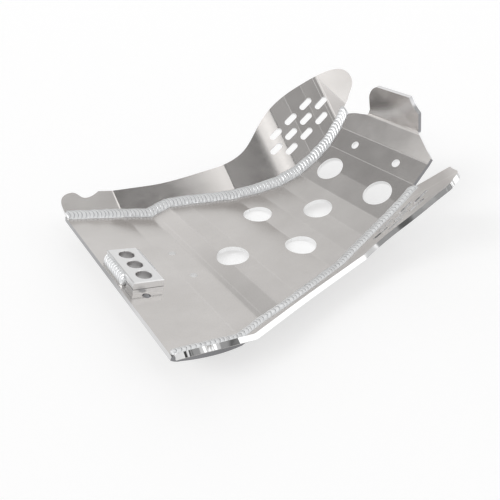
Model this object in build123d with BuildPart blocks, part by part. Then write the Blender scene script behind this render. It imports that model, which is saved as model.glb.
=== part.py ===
from build123d import *
import math
import os

# Welded aluminium skid plate for a motorcycle.
# A floor sheet is press-braked into shallow panels that curve up to the front,
# and a wing sheet stands on each side of it, leaning outwards.
# The part lies on its belly. X runs forward, Y to the left, Z up.
# The origin is under the middle of the overall length, on the ground.
# All sizes are in millimetres and all angles in degrees.

# Sheets: the wings stand on the floor's upper face, near its edge
sheet = 4.0                # thickness of the floor and of both wings
bend_radius = 9.0          # inside radius of the press-brake bends
tab_bend_radius = 5.0      # inside radius at the foot of the front tab

# Floor: panel lengths from the rear edge to the tab, and the bend after each
floor_panels = [57, 24, 21, 20, 49, 25, 25, 24.5, 24, 23.5, 23, 23.5, 33.5]
floor_bends = [7, 21, -14, -2, 9, 4.5, 7.5, 10.5, 7, 11, 9, 47.5]
ground_bends = (1, 4)      # the two bends of floor_bends that touch the ground
front_bend = 10            # last bend before the tab's own panel
tab_bend = 11              # bend at the foot of the tab
right_end_bend = 9         # bend where the right wing and its bead stop

# Wings: both lean outwards and bend about lines along the lean
lean = 45.0                # angle between the wing and the vertical
wing_heading = 10.5        # first panel, measured square to the lean
wing_panels = [55, 121, 43, 30.5, 20.5, 21.5, 19.5, 40]
wing_bends = [-19, -8, -1.5, -4.5, -3.5, -7, -9]
wing_offset = 61.8         # wing's inner face at the rear edge, square to the lean

# Wing outline, as distance ahead of the floor's rear edge and height up the lean
wing_rear = 1.0
rear_shoulder = 106.0
hump = (13.5, 118.0)
scallop = (27.0, 109.6)
scallop_end = (40.5, 113.6)
waist_start = (92.0, 102.8)
waist_end = (152.0, 98.0)
left_crest = [(183.0, 98.7), (196.0, 102.3), (208.0, 109.6), (225.0, 124.0),
              (241.0, 135.4), (262.0, 144.2), (288.0, 148.8), (312.0, 147.0)]
left_brow = (319.0, 142.8)
left_tip = (323.8, 129.0)          # furthest forward point of the whole part
left_neck = (314.4, 109.4)
left_front = 308.0
foot_reach = 8.0           # height of the last curve down to the straight front edge
brow_lean = -0.35          # slope of the crest where it starts to fall to the front
right_crest = [(183.0, 98.7), (196.0, 102.3), (208.0, 109.6), (225.0, 124.0),
               (241.0, 135.4), (251.0, 140.8)]
right_corner = [(259.0, 140.6), (270.0, 131.8), (279.5, 121.0)]

# Slots in the wings: a staggered group in rows that climb towards the front
slot_length = 16.5
slot_width = 6.6
slot_pitch = 24.0
row_pitch = 12.0
slot_angle = 22.0
slot_start = (237.1, 92.3)         # first slot of the middle row, along the sheet
left_rows = [(0, 0, 4), (1, 0, 3), (-1, 1, 3)]
right_rows = [(0, -1, 3), (1, -1, 2), (-1, 0, 2)]

# Holes in the floor: distance along the floor from the rear edge, then across
big_hole = 28.8
big_holes = [(109.0, -17.0), (171.0, 35.0), (171.0, -35.0), (220.5, 0.0),
             (269.0, 34.7), (269.0, -34.7)]
front_hole = 8.4
front_holes = [(304.5, 28.7), (304.5, -28.7)]
rear_hole = 6.6
rear_holes = [(67.0, 20.3), (67.0, -20.3), (15.5, -38.6)]

# Side and front edges of the floor and the tab on it
margin = 3.0               # floor beyond the wing's inner face, under the wing
rear_bow = 2.6             # how far the floor's edge bows out along the rear panel
rear_corner = 5.0          # length and width of the rounded rear corners
free_edge = 59.8           # half width of the floor ahead of the right wing
corner_cut = (5.5, 32.5)   # where the right corner cut starts and how far in it ends
shoulder_cut = [(15.5, 62.0), (19.0, 54.0), (21.5, 41.0), (22.8, 35.0)]
tab_half = 32.4
tab_foot_half = 35.0       # half width of the tab's left foot
tab_foot = 6.0             # height at which the left foot has run out
tab_cut_start = 1.0
tab_side = 19.5            # straight height of the tab's sides
tab_top_half = 21.0
tab_round = 28.6           # half width at the middle of the left rounded corner
tab_hollow = 25.4          # half width at the middle of the right hollow corner

# Mount block on its pad, on the rear panel
block_length = 56.0
block_width = 25.5
block_height = 6.0
pad_height = 4.0
block_along = 18.7
block_across = -6.5
block_edge = 0.6
bore = 12.5
bore_pitch = 17.2
bore_chamfer = 0.5

# Weld beads
bead_leg = 6.0             # reach of the long beads over the floor and up the wing
bead_crown = 1.3           # how far the bead's face bulges
bead_rear = 0.8            # where the long beads start, ahead of the rear edge
bead_front = 3.0           # how far they stop short of the wing's front end
block_bead_reach = 3.4
block_bead_height = 8.6
block_bead_ends = (-13.5, 27.3)    # across the block, from its own middle line


def cos(angle):
    return math.cos(math.radians(angle))


def sin(angle):
    return math.sin(math.radians(angle))


def walk(start, heading, lengths, bends):
    """Corner points of a bent sheet's face, from panel lengths and bends."""
    points = [start]
    for length, bend in zip(lengths, list(bends) + [0]):
        x, y = points[-1]
        points.append((x + length * cos(heading), y + length * sin(heading)))
        heading += bend
    return points


def headings(first, bends):
    """Direction of each panel."""
    result = [first]
    for bend in bends:
        result.append(result[-1] + bend)
    return result


def offset_points(points, first, bends, distance):
    """The same corners on a face that lies distance to the left."""
    turns = headings(first, bends)
    result = []
    for i, (x, y) in enumerate(points):
        before = turns[max(i - 1, 0)]
        after = turns[min(i, len(turns) - 1)]
        middle = (before + after) / 2
        reach = distance / cos((after - before) / 2)
        result.append((x - reach * sin(middle), y + reach * cos(middle)))
    return result


def corner_radii(bends, inside, thickness, side):
    """Radii of one face: side is 1 where that face lies left of the other."""
    return [r if bend * side > 0 else r + thickness for bend, r in zip(bends, inside)]


def at_distance(points, distance):
    """Point and panel number at a distance along a walked line."""
    left = distance
    for i in range(len(points) - 1):
        (x1, y1), (x2, y2) = points[i], points[i + 1]
        length = math.hypot(x2 - x1, y2 - y1)
        if left <= length or i == len(points) - 2:
            share = left / length
            return (x1 + (x2 - x1) * share, y1 + (y2 - y1) * share), i
        left -= length


def height_at(points, x):
    """Second coordinate of a walked line at a given x."""
    for (x1, y1), (x2, y2) in zip(points, points[1:]):
        if x <= x2:
            return y1 + (y2 - y1) * (x - x1) / (x2 - x1)
    return y2 + (y2 - y1) * (x - x2) / (x2 - x1)


# The floor's pitch at the rear follows from the two bends that touch the ground
flat_walk = walk((0, 0), 0, floor_panels, floor_bends)
first_touch = flat_walk[ground_bends[0] + 1]
second_touch = flat_walk[ground_bends[1] + 1]
floor_heading = -math.degrees(
    math.atan2(second_touch[1] - first_touch[1], second_touch[0] - first_touch[0])
)
rear_overhang = sheet * sin(-floor_heading)
rear_x = -(left_tip[0] - rear_overhang) / 2
level = walk((rear_x, 0), floor_heading, floor_panels, floor_bends)
rear_z = sheet - level[ground_bends[1] + 1][1]

floor_top = walk((rear_x, rear_z), floor_heading, floor_panels, floor_bends)
floor_under = offset_points(floor_top, floor_heading, floor_bends, -sheet)
floor_turns = headings(floor_heading, floor_bends)
floor_inside = [bend_radius] * (len(floor_bends) - 1) + [tab_bend_radius]

wing_inner = walk((rear_x, wing_offset), wing_heading, wing_panels, wing_bends)
wing_outer = offset_points(wing_inner, wing_heading, wing_bends, sheet)
wing_turns = headings(wing_heading, wing_bends)
wing_inside = [bend_radius] * len(wing_bends)

# Planes of the left wing: square to the lean, and along it
lean_plane = Plane(origin=(0, 0, 0), x_dir=(1, 0, 0), z_dir=(0, sin(lean), cos(lean)))
wing_face = Plane(origin=(0, 0, 0), x_dir=(1, 0, 0), z_dir=(0, -cos(lean), sin(lean)))
blank_low = 20.0
blank_high = 175.0
half_blank = 125.0
past = 40.0
right_angle = 90.0


def floor_plane(distance):
    """Plane on the floor's upper face, x forward along the panel, z out of it."""
    (x, z), panel = at_distance(floor_top, distance)
    heading = floor_turns[panel]
    return Plane(
        origin=(x, 0, z),
        x_dir=(cos(heading), 0, sin(heading)),
        z_dir=(-sin(heading), 0, cos(heading)),
    )


def panel_start(number):
    """Distance along the floor at which a panel starts."""
    return sum(floor_panels[:number])


def wing_plane(distance, height):
    """Plane on the left wing's inner face, x along the sheet, y up the lean."""
    (x, out), panel = at_distance(wing_inner, distance)
    heading = wing_turns[panel]
    along = lean_plane.from_local_coords(Vector(cos(heading), sin(heading), 0))
    place = lean_plane.from_local_coords(Vector(x, out, height))
    normal = along.cross(lean_plane.z_dir)
    return Plane(origin=place, x_dir=along, z_dir=normal)


def corner_point(x):
    """Where the left wing's inner face meets the floor's upper face, as y and z."""
    height = height_at(floor_top, x)
    out = height_at(wing_inner, x)
    up = (height + out * sin(lean)) / cos(lean)
    return (up * sin(lean) + out * cos(lean), height)


def edge_half(x):
    """Half width of the floor at x."""
    return corner_point(x)[0] + margin


# Everything to the left of the floor's left edge
bend_xs = sorted(x for x, _ in floor_top[1:-2] + wing_inner[1:-1])
edge_xs = [rear_x + rear_corner] + [x for x in bend_xs if x > rear_x + rear_corner]
with BuildPart() as outside_left:
    with BuildSketch(Plane.XY.offset(-past)):
        with BuildLine():
            edge_points = [(x, edge_half(x)) for x in edge_xs]
            bow_x = (edge_xs[0] + edge_xs[1]) / 2
            ThreePointArc(edge_points[0], (bow_x, edge_half(bow_x) + rear_bow), edge_points[1])
            corner_start = (rear_x - 2 * rear_overhang, edge_half(rear_x) - rear_corner)
            corner_middle = (rear_x + 0.12 * rear_corner, edge_half(rear_x) - 0.28 * rear_corner)
            ThreePointArc(corner_start, corner_middle, edge_points[0])
            Polyline(
                *edge_points[1:],
                (edge_points[-1][0] + past, edge_points[-1][1]),
                (edge_points[-1][0] + past, 2 * half_blank),
                (rear_x - past, 2 * half_blank),
                (rear_x - past, corner_start[1]),
                corner_start,
            )
        make_face()
    extrude(amount=blank_high + past)
outside_right = mirror(outside_left.part, about=Plane.XZ)


# Floor plate
with BuildPart() as floor_plate:
    with BuildSketch(Plane.XZ):
        with BuildLine():
            upper = FilletPolyline(
                *floor_top, radius=corner_radii(floor_bends, floor_inside, sheet, 1)
            )
            under = FilletPolyline(
                *floor_under, radius=corner_radii(floor_bends, floor_inside, sheet, -1)
            )
            Line(upper @ 0, under @ 0)
            Line(upper @ 1, under @ 1)
        make_face()
    extrude(amount=half_blank, both=True)
    add(outside_left.part, mode=Mode.SUBTRACT)
    add(outside_right, mode=Mode.SUBTRACT)

    # Free right edge ahead of the right wing
    right_end_x = floor_top[right_end_bend + 1][0]
    with BuildSketch(Plane.XY):
        with Locations((right_end_x + half_blank / 2, -free_edge - half_blank / 2)):
            Rectangle(half_blank, half_blank)
    extrude(amount=blank_high, mode=Mode.SUBTRACT)

    # Cut right corner and stepped left shoulder of the last panel
    last_length = floor_panels[front_bend + 1]
    with BuildSketch(floor_plane(panel_start(front_bend + 1) + 0.01)):
        with BuildLine():
            Polyline(
                (corner_cut[0], -free_edge),
                (last_length, -corner_cut[1]),
                (last_length + past, -corner_cut[1]),
                (last_length + past, -half_blank),
                (corner_cut[0], -half_blank),
                close=True,
            )
        make_face()
        with BuildLine():
            edge = Spline(*shoulder_cut)
            Polyline(
                edge @ 1,
                (last_length + past, shoulder_cut[-1][1]),
                (last_length + past, half_blank),
                (shoulder_cut[0][0], half_blank),
                edge @ 0,
            )
        make_face()
    extrude(amount=3 * sheet, both=True, mode=Mode.SUBTRACT)

    # Tab outline, cut on the tab's own panel
    tab_length = floor_panels[tab_bend + 1]
    with BuildSketch(floor_plane(panel_start(tab_bend + 1) + 0.01)):
        with Locations((half_blank / 2 + tab_cut_start, 0)):
            Rectangle(half_blank, 2 * half_blank)
        with BuildLine():
            Polyline((0, tab_foot_half), (tab_foot, tab_half), (tab_side, tab_half))
            ThreePointArc(
                (tab_side, tab_half),
                ((tab_side + tab_length) / 2 + 1.5, tab_round),
                (tab_length, tab_top_half),
            )
            Polyline(
                (tab_length, tab_top_half),
                (tab_length + past, tab_top_half),
                (tab_length + past, -tab_top_half),
                (tab_length, -tab_top_half),
            )
            ThreePointArc(
                (tab_length, -tab_top_half),
                ((tab_side + tab_length) / 2, -tab_hollow),
                (tab_side, -tab_half),
            )
            Polyline((tab_side, -tab_half), (0, -tab_half), (0, tab_foot_half))
        make_face(mode=Mode.SUBTRACT)
    extrude(amount=4 * sheet, both=True, mode=Mode.SUBTRACT)

    # Holes, each square to the panel that it sits on
    for holes, diameter in (
        (big_holes, big_hole),
        (front_holes, front_hole),
        (rear_holes, rear_hole),
    ):
        for distance, across in holes:
            with BuildSketch(floor_plane(distance)):
                with Locations((0, across)):
                    Circle(diameter / 2)
            extrude(amount=2 * sheet, both=True, mode=Mode.SUBTRACT)

    # Clearance for the bolts of the mount block
    with BuildSketch(floor_plane(block_along)):
        with Locations((0, block_across)):
            with GridLocations(1, bore_pitch, 1, 3):
                Circle(bore / 2)
    extrude(amount=2 * sheet, both=True, mode=Mode.SUBTRACT)


def build_wing(front_outline, rows):
    """A wing on the left side, from its front outline and its rows of slots."""
    with BuildPart() as wing:
        with BuildSketch(lean_plane.offset(blank_low)):
            with BuildLine():
                inner = FilletPolyline(
                    *wing_inner, radius=corner_radii(wing_bends, wing_inside, sheet, -1)
                )
                outer = FilletPolyline(
                    *wing_outer, radius=corner_radii(wing_bends, wing_inside, sheet, 1)
                )
                Line(inner @ 0, outer @ 0)
                Line(inner @ 1, outer @ 1)
            make_face()
        extrude(amount=blank_high - blank_low)

        # Outline, seen square to the lean
        with BuildSketch(wing_face):
            with BuildLine():
                rear_top = (rear_x + wing_rear, rear_shoulder)
                hump_top = (rear_x + hump[0], hump[1])
                low = (rear_x + scallop[0], scallop[1])
                low_end = (rear_x + scallop_end[0], scallop_end[1])
                Spline(rear_top, hump_top, tangents=[(0, 1), (1, 0)])
                Spline(hump_top, low, tangents=[(1, 0), (1, 0)])
                Spline(low, low_end, tangents=[(1, 0), (1, 0.45)])
                start = (rear_x + waist_start[0], waist_start[1])
                Line(low_end, start)
                front = [(rear_x + x, height) for x, height in front_outline]
                rise = Spline(start, (rear_x + waist_end[0], waist_end[1]), *front,
                              tangents=[(1, -0.19), (1, brow_lean)])
                front_foot(rise @ 1, rear_top, front_outline is left_crest)
            make_face()
        extrude(amount=blank_high, both=True, mode=Mode.INTERSECT)

        # Lower edge, along the floor's upper face
        with BuildSketch(Plane.XZ):
            with BuildLine():
                foot = FilletPolyline(
                    *floor_top[:-1],
                    radius=corner_radii(floor_bends, floor_inside, sheet, 1)[:-1],
                )
                Polyline(
                    foot @ 1,
                    (floor_top[-2][0] + past, floor_top[-2][1]),
                    (floor_top[-2][0] + past, 2 * blank_high),
                    (floor_top[0][0], 2 * blank_high),
                    foot @ 0,
                )
            make_face()
        extrude(amount=2 * half_blank, both=True, mode=Mode.INTERSECT)

        # Slots, each square to the sheet where it sits
        for row, first, count in rows:
            for place in range(first, first + count):
                along = place * slot_pitch + row * row_pitch
                distance = slot_start[0] + along * cos(slot_angle) - row * row_pitch * sin(slot_angle)
                height = slot_start[1] + along * sin(slot_angle) + row * row_pitch * cos(slot_angle)
                with BuildSketch(wing_plane(distance, height)):
                    SlotOverall(slot_length, slot_width, rotation=slot_angle)
                extrude(amount=2 * sheet, both=True, mode=Mode.SUBTRACT)
    return wing.part


def front_foot(crest_end, rear_top, is_left):
    """Close a wing's outline from the end of its crest, down and back."""
    if is_left:
        brow = (rear_x + left_brow[0], left_brow[1])
        tip = (rear_x + left_tip[0], left_tip[1])
        neck = (rear_x + left_neck[0], left_neck[1])
        foot = (rear_x + left_front, neck[1] - foot_reach)
        Spline(crest_end, brow, tip, tangents=[(1, brow_lean), (0, -1)])
        Spline(tip, neck, tangents=[(0, -1), (-0.5, -1)])
        Spline(neck, foot, tangents=[(-0.5, -1), (-0.3, -1)])
    else:
        corner = [(rear_x + x, height) for x, height in right_corner]
        foot = (floor_top[right_end_bend + 1][0], corner[-1][1] - foot_reach)
        Spline(crest_end, *corner, foot, tangents=[(1, brow_lean), (0, -1)])
    Polyline(foot, (foot[0], blank_low - 1), (rear_top[0], blank_low - 1), rear_top)


left_wing = build_wing(left_crest, left_rows)
right_wing = mirror(build_wing(right_crest, right_rows), about=Plane.XZ)


def long_bead(end_x):
    """Fillet bead in the left corner, from the rear to end_x."""
    start_x = rear_x + bead_rear
    bends = [x for x, _ in floor_top[1:-1]] + [x for x, _ in wing_inner[1:-1]]
    inside = sorted(x for x in bends if start_x + 2 < x < end_x - 2)
    stations = [start_x]
    for x in inside:
        if x - stations[-1] > 2:
            stations.append(x)
    stations.append(end_x)
    root = 1.5
    crown_lean = (right_angle - lean) / 2
    with BuildPart() as bead:
        for x in stations:
            y, z = corner_point(x)
            toe = (y - bead_leg, z)
            top = (y + bead_leg * sin(lean), z + bead_leg * cos(lean))
            crest = []
            for share in (0.25, 0.5, 0.75):
                rise = bead_crown * sin(share * 2 * right_angle)
                crest.append((
                    toe[0] + (top[0] - toe[0]) * share - rise * sin(crown_lean),
                    toe[1] + (top[1] - toe[1]) * share + rise * cos(crown_lean),
                ))
            with BuildSketch(Plane.YZ.offset(x)):
                with BuildLine():
                    Polyline(
                        toe,
                        *crest,
                        top,
                        (top[0] + root, top[1] - root / 2),
                        (y + root, z - root),
                        (toe[0], toe[1] - root),
                        close=True,
                    )
                make_face()
        loft(ruled=True)
    return bead.part


def seat_bead(blank, wing):
    """Trim a bead to the faces it lies on and drop the specks that the cuts leave."""
    with BuildPart() as bead:
        add(blank)
        add(floor_plate.part, mode=Mode.SUBTRACT)
        add(wing, mode=Mode.SUBTRACT)
    return bead.part.solids().sort_by(SortBy.VOLUME)[-1]


left_weld_bead = seat_bead(long_bead(rear_x + left_front - bead_front), left_wing)
right_bead_blank = mirror(long_bead(right_end_x - bead_front), about=Plane.XZ)
right_weld_bead = seat_bead(right_bead_blank, right_wing)


# Mount pad and mount block, stacked on the rear panel
block_plane = floor_plane(block_along)

with BuildPart() as mount_pad:
    with BuildSketch(block_plane):
        with Locations((0, block_across)):
            Rectangle(block_width, block_length)
            with GridLocations(1, bore_pitch, 1, 3):
                Circle(bore / 2, mode=Mode.SUBTRACT)
    extrude(amount=pad_height)

with BuildPart() as mount_block:
    with BuildSketch(block_plane.offset(pad_height)):
        with Locations((0, block_across)):
            Rectangle(block_width, block_length)
            with GridLocations(1, bore_pitch, 1, 3):
                Circle(bore / 2, mode=Mode.SUBTRACT)
    extrude(amount=block_height)
    top_face = mount_block.faces().sort_by(Axis(block_plane.origin, block_plane.z_dir))[-1]
    chamfer(top_face.outer_wire().edges(), length=block_edge)
    chamfer(
        mount_block.edges().filter_by(GeomType.CIRCLE).sort_by(
            Axis(block_plane.origin, block_plane.z_dir))[-3:],
        length=bore_chamfer,
    )


def block_bead(direction):
    """Steep bead between a long side of the block and the floor."""
    side = direction * block_width / 2
    bead_top = block_bead_height
    section = Plane(
        origin=block_plane.from_local_coords(Vector(side, block_across + block_bead_ends[0], 0)),
        x_dir=block_plane.x_dir * direction,
        z_dir=Vector(0, -direction, 0),
    )
    with BuildPart() as bead:
        with BuildSketch(section):
            with BuildLine():
                ThreePointArc(
                    (block_bead_reach, 0),
                    (block_bead_reach * 0.75, bead_top * 0.55),
                    (0, bead_top),
                )
                Polyline((0, bead_top), (0, 0), (block_bead_reach, 0))
            make_face()
        extrude(amount=-direction * (block_bead_ends[1] - block_bead_ends[0]))
    return bead.part


rear_block_bead = block_bead(-1)
front_block_bead = block_bead(1)


pieces = {
    "floor_plate": floor_plate.part,
    "left_wing": left_wing,
    "right_wing": right_wing,
    "left_weld_bead": left_weld_bead,
    "right_weld_bead": right_weld_bead,
    "mount_pad": mount_pad.part,
    "mount_block": mount_block.part,
    "rear_block_bead": rear_block_bead,
    "front_block_bead": front_block_bead,
}

os.makedirs("parts", exist_ok=True)
for name, piece in pieces.items():
    piece.label = name
    export_step(piece, f"parts/{name}.step")
    box = piece.bounding_box()
    print(name, len(piece.solids()), round(piece.volume), box.min, box.max)
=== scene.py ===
# %% [markdown]
# # A welded aluminium skid plate
# The plate sits under a motorcycle's engine. Its floor sheet is press-braked into
# flat panels that curve up to the front, two wing sheets lean outwards from it,
# and bright weld beads join them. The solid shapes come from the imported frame.
# This lesson gives them mill-finish metal, polished cut edges and rippled welds.

# %% Load the frame
import math
import random

import bpy
from mathutils import Matrix, Vector


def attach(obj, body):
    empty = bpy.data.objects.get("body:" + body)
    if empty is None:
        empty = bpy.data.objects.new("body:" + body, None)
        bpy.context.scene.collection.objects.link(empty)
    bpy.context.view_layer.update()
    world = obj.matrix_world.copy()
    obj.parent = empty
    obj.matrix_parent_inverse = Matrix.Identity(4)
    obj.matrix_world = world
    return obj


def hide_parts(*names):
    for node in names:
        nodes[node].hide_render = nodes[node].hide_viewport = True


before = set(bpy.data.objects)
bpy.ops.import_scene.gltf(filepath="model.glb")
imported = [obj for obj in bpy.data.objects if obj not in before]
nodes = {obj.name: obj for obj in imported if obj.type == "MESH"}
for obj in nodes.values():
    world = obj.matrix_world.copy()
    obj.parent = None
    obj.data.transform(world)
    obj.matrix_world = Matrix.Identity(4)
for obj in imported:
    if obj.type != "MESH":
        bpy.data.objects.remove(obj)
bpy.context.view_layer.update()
mm = 0.001
print("pieces in the frame:", sorted(nodes))

# %% [markdown]
# The camera stands to the right rear of the plate and looks down along it. Its
# place was solved from the photograph's bend lines and round holes, so the lens
# is a plain one with no shift, and the axes are written as three unit vectors.

# %% Camera
picture_side = 500
focal_pixels = 525.33
camera_place = Vector((-248.84, -348.5, 270.1)) * mm
camera_right = Vector((0.8318, -0.5543, -0.0293)).normalized()
camera_back = Vector((-0.4470, -0.7002, 0.5567)).normalized()

camera_data = bpy.data.cameras.new("camera")
camera_data.sensor_width = 36.0
camera_data.lens = camera_data.sensor_width * focal_pixels / picture_side
camera_data.clip_start = 0.01
camera = bpy.data.objects.new("camera", camera_data)
camera_up = camera_back.cross(camera_right).normalized()
camera_right = camera_up.cross(camera_back)
camera.matrix_world = Matrix(
    [(camera_right[i], camera_up[i], camera_back[i], camera_place[i]) for i in range(3)]
).to_4x4()
bpy.context.scene.collection.objects.link(camera)
bpy.context.scene.camera = camera
bpy.context.scene.view_settings.view_transform = "Standard"
print("lens", round(camera_data.lens, 2), "mm")

# %% [markdown]
# Every material is a small network of nodes. These helpers add one node each and
# join it to the network, so the finishes below read as short recipes.

# %% Helpers for materials
def new_material(name):
    """An empty material with an output and a metal shader."""
    material = bpy.data.materials.new(name)
    material.use_nodes = True
    tree = material.node_tree
    tree.nodes.clear()
    output = tree.nodes.new("ShaderNodeOutputMaterial")
    shader = tree.nodes.new("ShaderNodeBsdfPrincipled")
    tree.links.new(shader.outputs["BSDF"], output.inputs["Surface"])
    return material, tree, shader


def feed(tree, socket, value):
    """Join a socket to another one, or write a plain value on it."""
    if isinstance(value, bpy.types.NodeSocket):
        tree.links.new(value, socket)
    elif value is not None:
        socket.default_value = value


def math_node(tree, operation, a, b=None, c=None):
    node = tree.nodes.new("ShaderNodeMath")
    node.operation = operation
    for socket, value in zip(node.inputs, (a, b, c)):
        feed(tree, socket, value)
    return node.outputs[0]


def times(tree, a, b):
    return math_node(tree, "MULTIPLY", a, b)


def larger(tree, a, b):
    return math_node(tree, "MAXIMUM", a, b)


def apart(tree, a, b):
    """How far apart two values are."""
    return math_node(tree, "ABSOLUTE", math_node(tree, "SUBTRACT", a, b))


def ramp_node(tree, value, low, high, to_low=0.0, to_high=1.0, smooth=False):
    node = tree.nodes.new("ShaderNodeMapRange")
    node.interpolation_type = "SMOOTHSTEP" if smooth else "LINEAR"
    for name, item in (
        ("Value", value), ("From Min", low), ("From Max", high),
        ("To Min", to_low), ("To Max", to_high),
    ):
        feed(tree, node.inputs[name], item)
    return node.outputs[0]


def noise_node(tree, place, scale, detail, roughness, dimensions="3D"):
    node = tree.nodes.new("ShaderNodeTexNoise")
    node.noise_dimensions = dimensions
    feed(tree, node.inputs["Vector"], place)
    node.inputs["Scale"].default_value = scale
    node.inputs["Detail"].default_value = detail
    node.inputs["Roughness"].default_value = roughness
    return node.outputs[0]


def stretched(tree, place, scale):
    node = tree.nodes.new("ShaderNodeMapping")
    feed(tree, node.inputs["Vector"], place)
    node.inputs["Scale"].default_value = scale
    return node.outputs[0]


def blend(tree, factor, start, end):
    """Blend two colours. Each is a socket or three numbers."""
    node = tree.nodes.new("ShaderNodeMix")
    node.data_type = "RGBA"
    feed(tree, node.inputs["Factor"], factor)
    for name, colour in (("A", start), ("B", end)):
        is_socket = isinstance(colour, bpy.types.NodeSocket)
        feed(tree, node.inputs[name], colour if is_socket else (*colour, 1))
    return node.outputs["Result"]


def vector_node(tree, operation, a, b=None):
    node = tree.nodes.new("ShaderNodeVectorMath")
    node.operation = operation
    feed(tree, node.inputs[0], a)
    feed(tree, node.inputs[1], b)
    one_number = operation in ("DOT_PRODUCT", "DISTANCE")
    return node.outputs["Value" if one_number else "Vector"]


def dot_with(tree, vector, direction):
    return vector_node(tree, "DOT_PRODUCT", vector, direction)


def bump_node(tree, strength, distance, height):
    node = tree.nodes.new("ShaderNodeBump")
    node.inputs["Strength"].default_value = strength
    node.inputs["Distance"].default_value = distance
    feed(tree, node.inputs["Height"], height)
    return node


def surface(tree):
    """A point's place on the object, that place's X, Y and Z, and its flat normal."""
    place = tree.nodes.new("ShaderNodeTexCoord").outputs["Object"]
    split = tree.nodes.new("ShaderNodeSeparateXYZ")
    feed(tree, split.inputs["Vector"], place)
    normal = tree.nodes.new("ShaderNodeNewGeometry").outputs["True Normal"]
    return place, list(split.outputs), normal


print("helpers ready:", blend.__name__, ramp_node.__name__, surface.__name__)

# %% [markdown]
# The bends decide where the metal catches the light, so the lesson needs their
# places. Both sheets are walked panel by panel, the way the press brake made
# them: a length, then a turn.

# %% Panels of the floor and the wings
rear_x = -161.343
sheet = 4.0
lean = math.radians(45)
floor_heading = -16.160
floor_panels = [57, 24, 21, 20, 49, 25, 25, 24.5, 24, 23.5, 23, 23.5, 33.5]
floor_bends = [7, 21, -14, -2, 9, 4.5, 7.5, 10.5, 7, 11, 9, 47.5]
wing_heading = 10.5
wing_panels = [55, 121, 43, 30.5, 20.5, 21.5, 19.5, 40]
wing_bends = [-19, -8, -1.5, -4.5, -3.5, -7, -9]
wing_offset = 61.8
corner_hole = (-0.1470, -0.0386, 0.0175)    # the rear right bolt hole, in metres


def walk(start, heading, lengths, bends):
    points = [start]
    turns = [heading]
    for length, bend in zip(lengths, list(bends) + [0]):
        x, y = points[-1]
        turn = math.radians(turns[-1])
        points.append((x + length * math.cos(turn), y + length * math.sin(turn)))
        turns.append(turns[-1] + bend)
    return points, turns[:-1]


ground = walk((rear_x, 0), floor_heading, floor_panels, floor_bends)[0][2][1]
floor_line, floor_turns = walk((rear_x, sheet - ground), floor_heading, floor_panels, floor_bends)
wing_line, wing_turns = walk((rear_x, wing_offset), wing_heading, wing_panels, wing_bends)
print("floor from", floor_line[0], "to", floor_line[-1])

# %% [markdown]
# The sheets' cut edges were filed and polished, so they mirror the room. They
# could be painted one by one. Here the shader finds them by comparing the true
# normal with the panel's own normal, which it looks up in a stepped colour ramp
# by the place along the plate, so it still works when a sheet changes. A second
# ramp leans some panels by a few degrees, because pressed panels are never flat.

# %% Where the panels face
ramp_before = 2     # how far the ramps along a sheet start before it
ramp_after = 60     # and how far they end after it
panel_edge = 1.0    # the tilts start and end this far inside a panel


def ramp_ends(line):
    return line[0][0] - ramp_before, line[-1][0] + ramp_after


def colour_ramp(tree, along, line, stops, stepped):
    """A ramp along a sheet, through stops of (place in millimetres, colour)."""
    low, high = ramp_ends(line)
    node = tree.nodes.new("ShaderNodeValToRGB")
    node.color_ramp.interpolation = "CONSTANT" if stepped else "LINEAR"
    elements = node.color_ramp.elements
    for i, (x, colour) in enumerate(stops):
        position = min(max((x - low) / (high - low), 0), 1)
        stop = elements[i] if i < 2 else elements.new(position)
        stop.position = position
        stop.color = (*colour, 1)
    feed(tree, node.inputs["Fac"], ramp_node(tree, along, low * mm, high * mm))
    return node.outputs["Color"]


def panel_normal(tree, along, line, turns):
    """The sheet's own normal at a place along it: how far ahead and how far up."""
    low = ramp_ends(line)[0]
    stops = []
    for (x, _), turn in zip(line, turns):
        angle = math.radians(turn)
        colour = (0.5 - 0.5 * math.sin(angle), 0.5 + 0.5 * math.cos(angle), 0)
        stops.append((x if stops else low, colour))
    split = tree.nodes.new("ShaderNodeSeparateColor")
    feed(tree, split.inputs["Color"], colour_ramp(tree, along, line, stops, True))
    return [math_node(tree, "MULTIPLY_ADD", split.outputs[i], 2.0, -1.0) for i in (0, 1)]


def panel_tilt(tree, along, line, tilts):
    """The surface normal, with each panel leaned by a few degrees along the sheet."""
    stops = []
    for i, values in enumerate(tilts):
        start = line[i][0] + (panel_edge if i else -panel_edge)
        end = line[i + 1][0] - panel_edge
        for k, tilt in enumerate(values):
            grey = 0.5 + math.radians(tilt)
            stops.append((start + (end - start) * k / (len(values) - 1), (grey, grey, grey)))
    ramp = colour_ramp(tree, along, line, stops, False)
    lean_by = tree.nodes.new("ShaderNodeCombineXYZ")
    feed(tree, lean_by.inputs["X"], math_node(tree, "SUBTRACT", ramp, 0.5))
    normal = tree.nodes.new("ShaderNodeNewGeometry").outputs["Normal"]
    leaned = vector_node(tree, "ADD", normal, lean_by.outputs["Vector"])
    return vector_node(tree, "NORMALIZE", leaned)


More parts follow.
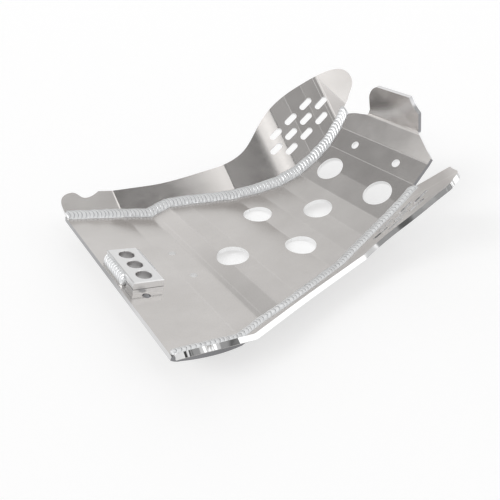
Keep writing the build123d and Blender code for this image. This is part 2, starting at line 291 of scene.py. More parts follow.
def cut_edges(tree, axes, normal, line, turns, out, is_floor):
    """Where the surface is a cut edge, and where it belongs to the floor's tab."""
    panels = turns[:-1] if is_floor else turns
    ahead, up = panel_normal(tree, axes[0], line, panels)
    facing = math_node(
        tree, "ADD",
        times(tree, dot_with(tree, normal, (1, 0, 0)), ahead),
        times(tree, dot_with(tree, normal, out), up),
    )
    on_tab = None
    if is_floor:
        tab_turn = math.radians(turns[-1])
        tab_normal = (-math.sin(tab_turn), 0, math.cos(tab_turn))
        tab_foot = line[-2][1]
        on_tab = ramp_node(tree, axes[2], (tab_foot - 1) * mm, (tab_foot + 1) * mm)
        change = math_node(tree, "SUBTRACT", dot_with(tree, normal, tab_normal), facing)
        facing = math_node(tree, "MULTIPLY_ADD", on_tab, change, facing)
    return ramp_node(tree, math_node(tree, "ABSOLUTE", facing), 0.6, 0.8, 1.0, 0.0), on_tab


print("ramps run from", ramp_ends(floor_line)[0], "to", round(ramp_ends(floor_line)[1], 1), "mm")

# %% [markdown]
# The press brake leaves a thin line at each bend, and the colour there is
# lightened as a painted highlight. The tip of the left wing also has a faint fold
# across it, with a painted highlight on its ridge and painted shade on its rear
# side. Both are too shallow to model, so they are only colour and a little bump,
# found by a point's place.

# %% Marks on the sheet
def bend_marks(tree, along, places, width):
    """Thin lines that the press brake left at these places, given a painted highlight."""
    total = None
    for place in places:
        away = apart(tree, along, place * mm)
        line = ramp_node(tree, away, 0.0, width * mm, 1.0, 0.0, smooth=True)
        total = line if total is None else larger(tree, total, line)
    return total


def fold_ridge_and_shade(tree, place, axes, line, fold):
    """A painted highlight on the ridge of a fold between two places, and painted shade behind it."""
    (x1, z1), (x2, z2) = fold
    length = math.dist(*fold)
    facing = ((z1 - z2) / length, 0, (x2 - x1) / length)
    start = (x1 * facing[0] + z1 * facing[2]) * mm
    beyond = math_node(tree, "SUBTRACT", dot_with(tree, place, facing), start)
    on_tip = ramp_node(tree, axes[0], (line[-2][0] + 1) * mm, (line[-2][0] + 1.5) * mm)
    away = math_node(tree, "ABSOLUTE", beyond)
    ridge = ramp_node(tree, away, 0.0, 0.6 * mm, 0.8, 0.0, smooth=True)
    behind = ramp_node(tree, beyond, -0.3 * mm, 0.3 * mm, 1.0, 0.0)
    lower = ramp_node(tree, axes[2], z1 * mm, z2 * mm, 0.25, 0.6)
    return times(tree, ridge, on_tip), times(tree, times(tree, behind, on_tip), lower)


floor_marks = [x for x, z in floor_line[10:12]]
floor_faint = [x for x, z in floor_line[1:10]] + [floor_line[2][0] + 5]
wing_marks = [x for x, v in wing_line[4:8]] + [wing_line[7][0] - 3]
print("bend marks:", len(floor_marks), "strong and", len(floor_faint), "faint on the floor")

# %% [markdown]
# Some cut edges are darkened with painted shade: the sides of the floor and of
# its tab, the rear edge more towards the left, the wall of the rear right bolt
# hole, and the wings' front edges. Here each is found by its place and its
# direction, so the solid needs no extra faces.

# %% Painted shade on cut edges
side_band = (50, 56)        # the floor's sides begin this far from its middle
rear_band = 2               # the rear edge reaches this far ahead of rear_x
shade_reach = 60            # the rear edge grows brighter this far to the right
rear_shade = (0.28, 0.85)
hole_reach = (4.5, 5)       # the hole's wall lies within this distance


def shade_floor_edges(tree, place, axes, normal, cut, on_tab):
    along, beside, _ = axes
    # Painted shade on the sides of the floor and of its tab
    sideways = math_node(tree, "ABSOLUTE", dot_with(tree, normal, (0, 1, 0)))
    rim = ramp_node(
        tree, math_node(tree, "ABSOLUTE", beside), side_band[0] * mm, side_band[1] * mm
    )
    full_side = math_node(tree, "MULTIPLY_ADD", on_tab, 0.35, 0.7)
    edge_shade = times(tree, ramp_node(tree, sideways, 0.4, full_side), larger(tree, rim, on_tab))
    # Painted shade on the rear edge, darker towards the left
    at_rear = ramp_node(tree, along, (rear_x + rear_band) * mm, rear_x * mm)
    shade = ramp_node(tree, beside, -shade_reach * mm, 0.0, *rear_shade)
    edge_shade = larger(tree, edge_shade, times(tree, times(tree, at_rear, cut), shade))
    # Painted shade on the wall of the rear right bolt hole
    from_hole = vector_node(tree, "DISTANCE", place, corner_hole)
    in_hole = ramp_node(tree, from_hole, hole_reach[0] * mm, hole_reach[1] * mm, 1.0, 0.0)
    return larger(tree, edge_shade, times(tree, in_hole, cut))


def shade_front_edges(tree, normal, cut, out):
    """Painted shade where a wing is bent in, on front edges that face away from the outer side."""
    outward = times(tree, cut, dot_with(tree, normal, out))
    return ramp_node(tree, outward, -0.3, -0.1, 1.0, 0.0)


print("dull floor sides begin", side_band[0], "mm from the middle")

# %% [markdown]
# Mill-finish sheet has a fine grain along the rolling direction and faint cloudy
# patches. Both are noise, and the grain's is stretched. The underside is darkened
# with painted shade, and the tab has marks of handling. Each of these is one more
# blend over the bare colour, so that any of them can be changed alone.

# %% Colour and gloss of the sheet
bare_dark = (0.69, 0.665, 0.645)
bare_light = (0.76, 0.735, 0.715)
# a painted highlight along the bend lines and the fold's ridge
crease_highlight_white = (0.98, 0.96, 0.94)
# painted shade on the underside
underside_shade_grey = (0.40, 0.39, 0.385)
# painted shade behind the fold on the left wing's tip
fold_shade_grey = (0.42, 0.40, 0.39)
smudge_grey = (0.40, 0.38, 0.37)
crease_highlight_share = 0.42
underside_shade_share = 0.75
smudge_share = 0.5
face_roughness = (0.15, 0.21)
edge_roughness = 0.07


def sheet_colour(tree, place, normal, cloud, press_and_highlight, fold_shade, on_tab):
    """The faces' colour, with painted light and shade. A sheet without a fold or a tab has None for
    them.
    """
    colour = blend(tree, ramp_node(tree, cloud, 0.3, 0.7), bare_dark, bare_light)
    # Painted highlight: the bend lines are lightened
    colour = blend(tree, times(tree, press_and_highlight, crease_highlight_share), colour, crease_highlight_white)
    # Painted shade: faces that look down are darkened
    below = dot_with(tree, normal, (0, 0, -1))
    under_shade = ramp_node(tree, below, 0.1, 0.3, 0.0, underside_shade_share)
    colour = blend(tree, under_shade, colour, underside_shade_grey)
    # Painted shade behind the fold
    if fold_shade is not None:
        colour = blend(tree, fold_shade, colour, fold_shade_grey)
    if on_tab is not None:
        hand = noise_node(tree, stretched(tree, place, (1, 1, 1.3)), 38.0, 4.0, 0.6)
        smudge = times(tree, ramp_node(tree, hand, 0.42, 0.62), on_tab)
        colour = blend(tree, times(tree, smudge, smudge_share), colour, smudge_grey)
    return colour


def sheet_roughness(tree, grain, cloud, press_and_highlight, cut, uncut, satin):
    glossy, dulled = face_roughness
    fine = ramp_node(tree, grain, 0.2, 0.8, glossy + satin, dulled + satin)
    face = math_node(tree, "ADD", fine, ramp_node(tree, cloud, 0.3, 0.8, 0.0, 0.06))
    face = math_node(tree, "SUBTRACT", face, times(tree, press_and_highlight, 0.05))
    return math_node(tree, "ADD", times(tree, face, uncut), times(tree, cut, edge_roughness))


print("roughness", face_roughness, "on the faces and", edge_roughness, "on the cut edges")

# %% [markdown]
# One recipe makes all three sheets, so that they look like cuts of the same metal.
# The right wing is satin on its inner face, because that face looks even in the
# photograph and mirrors little of the room.

# %% Sheet metal
polished_floor = (0.95, 0.95, 0.95)
polished_wing = (0.8, 0.8, 0.8)
# painted shade for the darkened cut edges
edge_shade_grey = (0.27, 0.27, 0.28)
grain_stretch = (6, 900, 900)
cloud_stretch = (1, 1.6, 1.6)
mark_width = 0.6
faint_width = 0.9
faint_share = 0.35
press_dulls = -0.45
satin_dulls = -2.2


def sheet_metal(name, line, turns, out, marks, faint_marks=(), tilts=None, satin=0.0, fold=None):
    """Mill-finish aluminium. out is the direction that a flat sheet would face."""
    material, tree, shader = new_material(name)
    place, axes, normal = surface(tree)
    is_floor = out[1] == 0
    cut, on_tab = cut_edges(tree, axes, normal, line, turns, out, is_floor)
    uncut = math_node(tree, "SUBTRACT", 1.0, cut)

    grain = noise_node(tree, stretched(tree, place, grain_stretch), 1.0, 4.0, 0.6)
    cloud = noise_node(tree, stretched(tree, place, cloud_stretch), 22.0, 3.0, 0.55)
    # The bend lines: marks of the press brake, with a painted highlight in their colour
    press_and_highlight = bend_marks(tree, axes[0], marks, mark_width)
    if faint_marks:
        faint = bend_marks(tree, axes[0], faint_marks, faint_width)
        press_and_highlight = larger(tree, press_and_highlight, times(tree, faint, faint_share))
    fold_shade = None
    if fold:
        ridge, fold_shade = fold_ridge_and_shade(tree, place, axes, line, fold)
        press_and_highlight = larger(tree, press_and_highlight, ridge)

    colour = sheet_colour(tree, place, normal, cloud, press_and_highlight, fold_shade, on_tab)
    if is_floor:
        colour = blend(tree, cut, colour, polished_floor)
        edge_shade = shade_floor_edges(tree, place, axes, normal, cut, on_tab)
    else:
        colour = blend(tree, cut, colour, polished_wing)
        edge_shade = shade_front_edges(tree, normal, cut, out)
    # Painted shade on the darkened cut edges
    feed(tree, shader.inputs["Base Color"], blend(tree, edge_shade, colour, edge_shade_grey))

    metallic = math_node(tree, "MULTIPLY_ADD", press_and_highlight, press_dulls, 1.0)
    if satin:
        upward = dot_with(tree, normal, (0, 0, 1))
        inner = times(tree, ramp_node(tree, upward, 0.2, 0.5), uncut)
        metallic = math_node(tree, "MULTIPLY_ADD", inner, satin_dulls * satin, metallic)
    feed(tree, shader.inputs["Metallic"], metallic)
    roughness = sheet_roughness(tree, grain, cloud, press_and_highlight, cut, uncut, satin)
    feed(tree, shader.inputs["Roughness"], roughness)

    relief = math_node(tree, "ADD", times(tree, grain, 0.4), times(tree, press_and_highlight, 4.0))
    bump = bump_node(tree, 0.05, 0.2 * mm, relief)
    if tilts:
        feed(tree, bump.inputs["Normal"], panel_tilt(tree, axes[0], line, tilts))
    feed(tree, shader.inputs["Normal"], bump.outputs["Normal"])
    return material


print("sheet recipe:", sheet_metal.__name__)

# %% [markdown]
# Each sheet now gets its own material. A flat wing would face outwards and down.
# The tilts are degrees at even steps along each panel, read from where the
# photograph's wings turn bright or dark, and the fold is given by its two ends.

# %% The three sheets
lean_share = math.sin(lean)
wing_tilts = [(0, 0), (0, 0), (0, 0.5), (3, 6.3, 7, 5), (1, 0), (0.5, 0), (0, 0), (0, 0)]
tip_fold = ((140.3, 96.8), (149.5, 78.4))
floor_metal = sheet_metal(
    "floor_sheet", floor_line, floor_turns, (0, 0, 1), floor_marks, floor_faint
)
left_metal = sheet_metal(
    "left_wing_sheet", wing_line, wing_turns, (0, lean_share, -lean_share), wing_marks,
    tilts=wing_tilts, fold=tip_fold,
)
right_metal = sheet_metal(
    "right_wing_sheet", wing_line, wing_turns, (0, -lean_share, -lean_share), wing_marks,
    tilts=wing_tilts, satin=0.2,
)
print("sheet materials:", floor_metal.name, left_metal.name, right_metal.name)

# %% [markdown]
# The mount block is sawn bar with three bores. Its faces are a little duller than
# the sheet, and a thin dark line shows where it stands on its pad. The walls of
# the bores are a plain grey, as painted shade. They are found by their distance
# from the nearest axis, so no face has to be picked by hand.

# %% Block metal
block_reach = 18.7     # middle of the block, from the rear edge along the floor
block_middle = -6.5    # middle of the block across the floor
bore_pitch = 17.2
bore_radius = 6.3
bar_dark = (0.88, 0.88, 0.88)
bar_light = (0.98, 0.98, 0.98)
seam_grey = (0.2, 0.2, 0.2)
# painted shade inside the bores
bore_shade_grey = (0.6, 0.59, 0.59)
bar_roughness = (0.38, 0.34)    # on the sides and on top
block_tilt = math.radians(floor_turns[0])
block_forward = (math.cos(block_tilt), 0, math.sin(block_tilt))
block_upward = (-math.sin(block_tilt), 0, math.cos(block_tilt))


def block_metal():
    material, tree, shader = new_material("block_bar")
    place, axes, normal = surface(tree)
    rear, rear_top = floor_line[0]
    saw = noise_node(tree, stretched(tree, place, (700, 12, 60)), 1.0, 3.0, 0.5)
    colour = blend(tree, saw, bar_dark, bar_light)

    # The thin dark line between pad and block
    joint = rear * block_upward[0] + rear_top * block_upward[2] + sheet
    away = apart(tree, dot_with(tree, place, block_upward), joint * mm)
    seam = ramp_node(tree, away, 0.15 * mm, 0.4 * mm, 1.0, 0.0)
    colour = blend(tree, seam, colour, seam_grey)

    # Painted shade on the walls of the bores
    middle = rear * block_forward[0] + rear_top * block_forward[2] + block_reach
    ahead = math_node(tree, "SUBTRACT", dot_with(tree, place, block_forward), middle * mm)
    from_middle = apart(tree, axes[1], block_middle * mm)
    from_outer = apart(tree, from_middle, bore_pitch * mm)
    beside = math_node(tree, "MINIMUM", from_middle, from_outer)
    squares = math_node(tree, "ADD", times(tree, ahead, ahead), times(tree, beside, beside))
    from_axis = math_node(tree, "SQRT", squares)
    in_bore = ramp_node(tree, from_axis, bore_radius * mm, (bore_radius + 0.2) * mm, 1.0, 0.0)
    feed(tree, shader.inputs["Base Color"], blend(tree, in_bore, colour, bore_shade_grey))

    shader.inputs["Metallic"].default_value = 1.0
    on_top = ramp_node(tree, dot_with(tree, normal, block_upward), 0.6, 0.8)
    feed(tree, shader.inputs["Roughness"], ramp_node(tree, on_top, 0, 1, *bar_roughness))
    bump = bump_node(tree, 0.06, 0.2 * mm, saw)
    feed(tree, shader.inputs["Normal"], bump.outputs["Normal"])
    return material


block_bar = block_metal()
print("block leans by", round(math.degrees(block_tilt), 2), "degrees")

# %% [markdown]
# A weld bead is cast metal, which freezes in small crescents. The crests get a
# painted highlight, brighter than the sheet, the valleys painted shade and more
# roughness, and the sides are lighter too. The material reads crests and sides
# from numbers that the bead's mesh carries, so it needs no image.

# %% Weld metal
# painted shade in the valleys, and a painted highlight on the crests and sides
bead_valley_shade = (0.33, 0.34, 0.35)
bead_highlight = (0.97, 0.98, 0.99)
valley_roughness = 0.5
crest_roughness = 0.3


def carried(tree, name):
    """A number that each point of the mesh carries."""
    node = tree.nodes.new("ShaderNodeAttribute")
    node.attribute_name = name
    return node.outputs["Fac"]


def weld_metal():
    material, tree, shader = new_material("weld_metal")
    place = tree.nodes.new("ShaderNodeTexCoord").outputs["Object"]
    crest = ramp_node(tree, carried(tree, "ripple"), 0.1, 0.6)
    side = math_node(tree, "ABSOLUTE", carried(tree, "across"))
    rim = ramp_node(tree, side, 0.55, 0.85)
    # Painted highlight on the crests and the lighter sides, painted shade in the valleys
    highlight_share = larger(tree, crest, times(tree, rim, 0.85))
    feed(tree, shader.inputs["Base Color"], blend(tree, highlight_share, bead_valley_shade, bead_highlight))
    shader.inputs["Metallic"].default_value = 0.6
    roughness = ramp_node(tree, crest, 0, 1, valley_roughness, crest_roughness)
    feed(tree, shader.inputs["Roughness"], roughness)
    bump = bump_node(tree, 0.04, 0.1 * mm, noise_node(tree, place, 900.0, 2.0, 0.5))
    feed(tree, shader.inputs["Normal"], bump.outputs["Normal"])
    return material


weld = weld_metal()
print("weld metal:", len(weld.node_tree.nodes), "nodes")

# %% [markdown]
# The frame's pieces keep their exact shapes. A Weld modifier joins their loose
# triangles, a small node tree marks edges over 25 degrees as sharp, and weighted
# normals keep the panels flat while the narrow bends between them turn softly.

# %% Soft bends on the sheets
sharp_angle = math.radians(25)
join_distance = 0.002 * mm


def node_group(name, numbers, materials=()):
    """A node tree for a modifier. numbers are inputs as (name, value)."""
    tree = bpy.data.node_groups.new(name, "GeometryNodeTree")
    sides = tree.interface
    sides.new_socket("Geometry", in_out="INPUT", socket_type="NodeSocketGeometry")
    for label, value in numbers:
        socket = sides.new_socket(label, in_out="INPUT", socket_type="NodeSocketFloat")
        socket.default_value = value
    for label in materials:
        sides.new_socket(label, in_out="INPUT", socket_type="NodeSocketMaterial")
    sides.new_socket("Geometry", in_out="OUTPUT", socket_type="NodeSocketGeometry")
    return tree, tree.nodes.new("NodeGroupInput"), tree.nodes.new("NodeGroupOutput")


def chain(tree, *steps):
    """Pass the geometry through these nodes, one after the other."""
    for before, after in zip(steps, steps[1:]):
        feed(tree, after.inputs["Geometry"], before.outputs["Geometry"])


def sharp_edges_tree():
    tree, start, end = node_group("sharp_above_angle", [("Angle", sharp_angle)])
    smooth = tree.nodes.new("GeometryNodeSetShadeSmooth")
    smooth.domain = "FACE"
    sharp = tree.nodes.new("GeometryNodeSetShadeSmooth")
    sharp.domain = "EDGE"
    bend = tree.nodes.new("GeometryNodeInputMeshEdgeAngle").outputs["Unsigned Angle"]
    gentle = math_node(tree, "LESS_THAN", bend, start.outputs["Angle"])
    feed(tree, sharp.inputs["Shade Smooth"], gentle)
    chain(tree, start, smooth, sharp, end)
    return tree


soft_bends = sharp_edges_tree()


def dress(node, material):
    """Put a material on a piece of the frame and soften its bends."""
    piece = nodes[node]
    piece.data.materials.clear()
    piece.data.materials.append(material)
    joined = piece.modifiers.new("join", "WELD")
    joined.merge_threshold = join_distance
    marked = piece.modifiers.new("mark", "NODES")
    marked.node_group = soft_bends
    weighted = piece.modifiers.new("weighted", "WEIGHTED_NORMAL")
    weighted.keep_sharp = True
    weighted.weight = 100
    print("dressed", node, "in", material.name)


for node, material in (
    ("floor_plate", floor_metal),
    ("left_wing", left_metal),
    ("right_wing", right_metal),
    ("mount_pad", block_bar),
    ("mount_block", block_bar),
):
    dress(node, material)

# %% [markdown]
# A welder feeds the rod in dabs, and each dab freezes as a crescent. Geometry
# Nodes push a bead's surface out in such crescents. They are real geometry,
# because bump in a material would not show at the bead's outline.

# %% Ripples
def named_value(tree, name):
    node = tree.nodes.new("GeometryNodeInputNamedAttribute")
    node.data_type = "FLOAT"
    node.inputs["Name"].default_value = name
    return node.outputs["Attribute"]


def ripple_shape(tree, inputs):
    """How high a point lies in its dab: 0 in a valley and nearly 1 on a crest."""
    along = named_value(tree, "along")
    across = named_value(tree, "across")
    place = tree.nodes.new("ShaderNodeCombineXYZ")
    feed(tree, place.inputs["X"], times(tree, along, 0.18))
    feed(tree, place.inputs["Y"], inputs["Seed"])
    wander = noise_node(tree, place.outputs["Vector"], 1.0, 1.0, 0.5, "2D")
    drift = times(tree, math_node(tree, "SUBTRACT", wander, 0.5), inputs["Wander"])
    curl = times(tree, times(tree, across, across), inputs["Curl"])
    dabs = math_node(tree, "DIVIDE", along, inputs["Pitch"])
    turn = math_node(tree, "ADD", math_node(tree, "ADD", dabs, curl), drift)
    step = math_node(tree, "FRACT", turn)
    beside = math_node(tree, "ABSOLUTE", math_node(tree, "MULTIPLY_ADD", step, 2.0, -1.0))
    swell = math_node(tree, "SUBTRACT", 1.0, math_node(tree, "POWER", beside, 4.0))
    return times(tree, swell, math_node(tree, "SUBTRACT", 1.0, times(tree, step, 0.3)))


def ripple_tree():
    numbers = [("Pitch", 3.3), ("Height", 0.5), ("Curl", 0.9), ("Wander", 0.5), ("Seed", 1.0)]
    tree, start, end = node_group("weld_ripples", numbers, ["Metal"])
    shape = ripple_shape(tree, start.outputs)
    height = times(tree, start.outputs["Height"], mm)
    lift = times(tree, times(tree, shape, named_value(tree, "crust")), height)
    push = tree.nodes.new("ShaderNodeVectorMath")
    push.operation = "SCALE"
    normal = tree.nodes.new("GeometryNodeInputNormal").outputs["Normal"]
    feed(tree, push.inputs[0], normal)
    feed(tree, push.inputs["Scale"], lift)
    moved = tree.nodes.new("GeometryNodeSetPosition")
    feed(tree, moved.inputs["Offset"], push.outputs["Vector"])
    kept = tree.nodes.new("GeometryNodeStoreNamedAttribute")
    kept.data_type = "FLOAT"
    kept.domain = "POINT"
    kept.inputs["Name"].default_value = "ripple"
    feed(tree, kept.inputs["Value"], shape)
    smooth = tree.nodes.new("GeometryNodeSetShadeSmooth")
    real = tree.nodes.new("GeometryNodeRealizeInstances")
    metal = tree.nodes.new("GeometryNodeSetMaterial")
    feed(tree, metal.inputs["Material"], start.outputs["Metal"])
    chain(tree, start, moved, kept, smooth, real, metal, end)
    return tree


ripples = ripple_tree()
items = ripples.interface.items_tree
sockets = {item.name: item.identifier for item in items if item.in_out == "INPUT"}
print("ripple inputs:", sorted(sockets))

# %% [markdown]
# Each bead starts as a closed strip of small quads, swept along the corner that
# it fills, with tapered ends. A point's distance along the bead and its place
# across it are kept as attributes, because the ripples and the weld metal read
# them. A curve with a round profile could not follow a corner that changes shape.

# %% Sweep a bead
bead_cells = 12     # quads across a bead
end_length = 3.5    # millimetres in which an end swells to its full size
least_full = 0.12


def bead_fullness(from_end):
    if from_end >= end_length:
        return 1.0
    return max(math.sqrt(1 - (1 - from_end / end_length) ** 2), least_full)


def bead_blank(name, stations, crown):
    """A closed strip through stations of (floor toe, wall toe, corner), in millimetres."""
    middles = [(toe + top) / 2 for toe, top, corner in stations]
    distances = [0.0]
    for before, after in zip(middles, middles[1:]):
        distances.append(distances[-1] + (after - before).length)
    points = []
    carried_values = []
    for (toe, top, corner), middle, distance in zip(stations, middles, distances):
        full = bead_fullness(min(distance, distances[-1] - distance))
        out = (middle - corner).normalized()
        for i in range(bead_cells + 1):
            share = i / bead_cells
            arch = math.sin(math.pi * share)
            point = toe.lerp(top, share) + out * crown * arch
            points.append((corner + (point - corner) * (0.25 + 0.75 * full)) * mm)
            carried_values.append((distance, 2 * share - 1, full * arch ** 0.5))
        points.append(corner * mm)
        carried_values.append((distance, 0.0, 0.0))

    ring = bead_cells + 2
    faces = []
    for first in range(0, len(points) - ring, ring):
        for i in range(ring):
            a = first + i
            b = first + (i + 1) % ring
            faces.append((a, b, b + ring, a + ring))
    faces.append(tuple(range(ring))[::-1])
    faces.append(tuple(range(len(points) - ring, len(points))))
    mesh = bpy.data.meshes.new(name)
    mesh.from_pydata(points, [], faces)
    for label, values in zip(("along", "across", "crust"), zip(*carried_values)):
        mesh.attributes.new(label, "FLOAT", "POINT").data.foreach_set("value", values)
    return mesh


def face_outward(mesh):
    """Turn the faces out by the sign of the volume that they enclose."""
    volume = 0.0
    for face in mesh.polygons:
        corners = [mesh.vertices[i].co for i in face.vertices]
        for b, c in zip(corners[1:], corners[2:]):
            volume += corners[0].dot(b.cross(c))
    if volume < 0:
        mesh.flip_normals()


def weld_bead(name, node, stations, crown, pitch, height, seed):
    """A rippled bead in place of a node of the frame. Lengths are in millimetres."""
    blank = bpy.data.objects.new(name + "_blank", bead_blank(name, stations, crown))
    face_outward(blank.data)
    bpy.context.scene.collection.objects.link(blank)
    modifier = blank.modifiers.new("ripples", "NODES")
    modifier.node_group = ripples
    for label, value in (("Pitch", pitch), ("Height", height), ("Seed", seed), ("Metal", weld)):
        modifier[sockets[label]] = value
    now = bpy.context.evaluated_depsgraph_get()
    done = bpy.data.meshes.new_from_object(
        blank.evaluated_get(now), preserve_all_data_layers=True, depsgraph=now
    )
    bpy.data.objects.remove(blank)
    done.name = name
    bead = bpy.data.objects.new(name, done)
    bpy.context.scene.collection.objects.link(bead)
    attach(bead, "root")
    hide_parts(node)
    print(name, len(done.vertices), "points")
    return bead


# %% [markdown]
# The long beads follow the corner between floor and wing. At each place the
# corner is where the wing's inner face meets the floor's upper face. A bead
# reaches about six millimetres over the floor and, from rear to front, seven to
# nine up the lean. The welder's hand is never quite even, so the reach wobbles.

# %% Long beads
station_step = 0.3      # millimetres from one station of a bead to the next
floor_reach = 6.0
wing_reach = (7.2, 9.0)
wobble_length = 4.0


def height_at(points, x):
    for (x1, y1), (x2, y2) in zip(points, points[1:]):
        if x <= x2:
            return y1 + (y2 - y1) * (x - x1) / (x2 - x1)
    return points[-1][1]


def corner_stations(side, length, seed):
    """side is 1 for the left corner and -1 for the right one."""
    hand = random.Random(seed)
    wobble = [hand.uniform(-0.35, 0.35) for _ in range(200)]
    start = rear_x + 0.6
    end = rear_x + length
    sine, cosine = math.sin(lean), math.cos(lean)
    stations = []
    x = start
    while x <= end:
        z = height_at(floor_line, x)
        out = height_at(wing_line, x)
        y = (z + out * sine) / cosine * sine + out * cosine
        place = (x - start) / wobble_length
        i = int(place)
        share = place - i
        reach = floor_reach + wobble[i] * (1 - share) + wobble[i + 1] * share
        widening = (wing_reach[1] - wing_reach[0]) * (x - start) / (end - start)
        climb = reach - floor_reach + wing_reach[0] + widening
        corner = Vector((x, side * y, z))
        toe = Vector((x, side * (y - reach), z - 0.15))
        top = Vector((x, side * (y + climb * sine + 0.1), z + climb * cosine - 0.1))
        stations.append((toe, top, corner))
        x += station_step
    return stations


for name, side, length, hand_seed, ripple_seed in (
    ("left_weld", 1, 308.5, 3, 1.0),
    ("right_weld", -1, 279.0, 5, 4.0),
):
    stations = corner_stations(side, length, hand_seed)
    weld_bead(name, name + "_bead", stations, 1.3, 3.8, 0.6, ripple_seed)

# %% [markdown]
# The block is welded along its two long sides. These beads are steep, because
# the welder leaned them on the block.

# %% Block beads
half_block = 12.75
block_bead_ends = (-20.0, 20.8)
block_floor_reach = 3.6


def block_stations(direction, rise):
    """direction is 1 for the block's front side and -1 for its rear side."""
    forward = Vector(block_forward)
    upward = Vector(block_upward)
    origin = Vector((floor_line[0][0], 0, floor_line[0][1])) + forward * block_reach
    stations = []
    y = block_bead_ends[0]
    while y <= block_bead_ends[1]:
        corner = origin + forward * direction * half_block + Vector((0, y, 0))
        toe = corner + forward * direction * block_floor_reach - upward * 0.1
        top = corner + upward * rise - forward * direction * 0.1
        stations.append((toe, top, corner))
        y += station_step
    return stations


for name, direction, rise, ripple_seed in (("rear_block", -1, 8.8, 8.0), ("front_block", 1, 10.4, 9.0)):
    stations = block_stations(direction, rise)
    weld_bead(name + "_weld", name + "_bead", stations, 1.2, 3.7, 0.8, ripple_seed)

# %% [markdown]
# The plate lies on a plain pale floor. The floor is far larger than the plate, so
# that its edge is never seen. It glows evenly, both where the camera sees it and
# where the metal mirrors it.

# %% Stage
half_stage = 3.0
stage_height = -0.0001
seen_glow = 0.58
mirrored_glow = 0.5


def studio_floor():
    signs = ((-1, -1), (1, -1), (1, 1), (-1, 1))
    mesh = bpy.data.meshes.new("studio_floor")
    corners = [(half_stage * x, half_stage * y, stage_height) for x, y in signs]
    mesh.from_pydata(corners, [], [(0, 1, 2, 3)])
    ground_plane = bpy.data.objects.new("studio_floor", mesh)
    bpy.context.scene.collection.objects.link(ground_plane)
    material, tree, shader = new_material("pale_floor")
    shader.inputs["Base Color"].default_value = (0.5, 0.5, 0.5, 1)
    shader.inputs["Roughness"].default_value = 0.9
    glow = tree.nodes.new("ShaderNodeEmission")
    path = tree.nodes.new("ShaderNodeLightPath")
    mirrored = times(tree, path.outputs["Is Glossy Ray"], mirrored_glow)
    seen = math_node(tree, "MULTIPLY_ADD", path.outputs["Is Camera Ray"], seen_glow, mirrored)
    feed(tree, glow.inputs["Strength"], seen)
    both = tree.nodes.new("ShaderNodeAddShader")
    feed(tree, both.inputs[0], shader.outputs["BSDF"])
    feed(tree, both.inputs[1], glow.outputs["Emission"])
    output = next(node for node in tree.nodes if node.type == "OUTPUT_MATERIAL")
    feed(tree, output.inputs["Surface"], both.outputs["Shader"])
    mesh.materials.append(material)
    return ground_plane


print(studio_floor().name, "is", 2 * half_stage, "metres wide")

# %% [markdown]
# Bright metal shows the room around it more than its own colour, so the room is
# what makes it look like metal. It is pale low down and dimmer towards the
# ceiling, with a few soft boxes and dark screens. Each one is a place on the sky
# (azimuth and elevation in degrees), its half width, half height, the softness of
# its edge and how bright it is. The camera itself sees plain white.

# %% The room
soft_boxes = [
    ("half dark ceiling", 91, 60, 10, 15, 10, 0.48),
    ("bright sill at the left", 82, 32, 8, 9, 8, 0.88),
    ("dark ceiling ahead", 116, 44, 20, 22, 6, 0.35),
    ("bright wall at the left", 162, 36, 24, 20, 5, 1.0),
    ("dark screen at the right", -108, 53, 33, 26, 5, 0.37),
    ("gap in the screen", -107, 59, 4, 12, 5, 0.62),
    ("dark core of the screen", -84, 60, 9, 12, 5, 0.10),
    ("box at the right", -64, 60, 9.5, 16, 4, 1.6),
    ("screen at the right rear", -30, 52, 16, 12, 8, 0.56),
    ("box behind", -158, 38, 13, 15, 4, 1.05),
    ("lamp at the right", -36, 27, 16, 11, 5, 1.5),
    ("dark corner behind", -165, 8, 14, 9, 5, 0.06),
    ("dark doorway at the right", -100, 30, 25, 9, 5, 0.1),
    ("dark shelf behind", -139, 30, 6, 8, 4, 0.12),
]
world = bpy.data.worlds.new("room")
bpy.context.scene.world = world
world.use_nodes = True
room = world.node_tree
room.nodes.clear()
parts = room.nodes.new("ShaderNodeSeparateXYZ")
feed(room, parts.inputs["Vector"], room.nodes.new("ShaderNodeTexCoord").outputs["Generated"])
degrees = 180 / math.pi
turned = math_node(room, "ARCTAN2", parts.outputs["Y"], parts.outputs["X"])
azimuth = times(room, turned, degrees)
elevation = times(room, math_node(room, "ARCSINE", parts.outputs["Z"]), degrees)


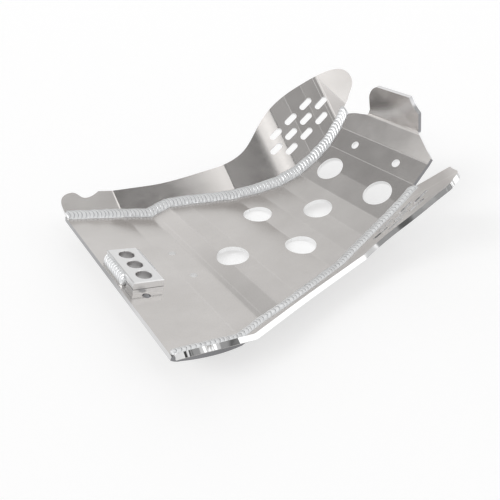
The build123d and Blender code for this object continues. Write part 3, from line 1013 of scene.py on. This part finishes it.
def strip_of_sky(angle, middle, half, soft):
    """1 within half of the middle angle and 0 beyond it, with a soft edge."""
    away = apart(room, angle, middle)
    return ramp_node(room, away, half - soft / 2, half + soft / 2, 1.0, 0.0, smooth=True)


level = ramp_node(room, elevation, 20, 75, 0.8, 0.5, smooth=True)
for label, side_angle, height_angle, half_width, half_height, soft, bright in soft_boxes:
    inside = times(
        room,
        strip_of_sky(azimuth, side_angle, half_width, soft),
        strip_of_sky(elevation, height_angle, half_height, soft),
    )
    change = math_node(room, "SUBTRACT", bright, level)
    level = math_node(room, "MULTIPLY_ADD", inside, change, level)

room_output = room.nodes.new("ShaderNodeOutputWorld")
room_light = room.nodes.new("ShaderNodeBackground")
room_seen = room.nodes.new("ShaderNodeBackground")
room_mix = room.nodes.new("ShaderNodeMixShader")
camera_ray = room.nodes.new("ShaderNodeLightPath").outputs["Is Camera Ray"]
for socket, value in (
    (room_light.inputs["Color"], level),
    (room_seen.inputs["Color"], (1, 1, 1, 1)),
    (room_mix.inputs["Fac"], camera_ray),
    (room_mix.inputs[1], room_light.outputs["Background"]),
    (room_mix.inputs[2], room_seen.outputs["Background"]),
    (room_output.inputs["Surface"], room_mix.outputs["Shader"]),
):
    feed(room, socket, value)
print("soft boxes:", len(soft_boxes))

# %% [markdown]
# One softened lamp behind the plate gives the weld ripples and the edges of the
# block their small highlights.

# %% Lamp
def sun_from(name, side_angle, height_angle, strength, spread):
    """A lamp from a place on the sky. All angles are in degrees."""
    side = math.radians(side_angle)
    height = math.radians(height_angle)
    toward = Vector((
        math.cos(height) * math.cos(side),
        math.cos(height) * math.sin(side),
        math.sin(height),
    ))
    lamp = bpy.data.lights.new(name, "SUN")
    lamp.energy = strength
    lamp.angle = math.radians(spread)
    holder = bpy.data.objects.new(name, lamp)
    holder.rotation_euler = toward.to_track_quat("Z", "Y").to_euler()
    bpy.context.scene.collection.objects.link(holder)
    return lamp


key = sun_from("key", 176, 38, 0.7, 25)
print("lamp:", key.name, "of strength", round(key.energy, 2))
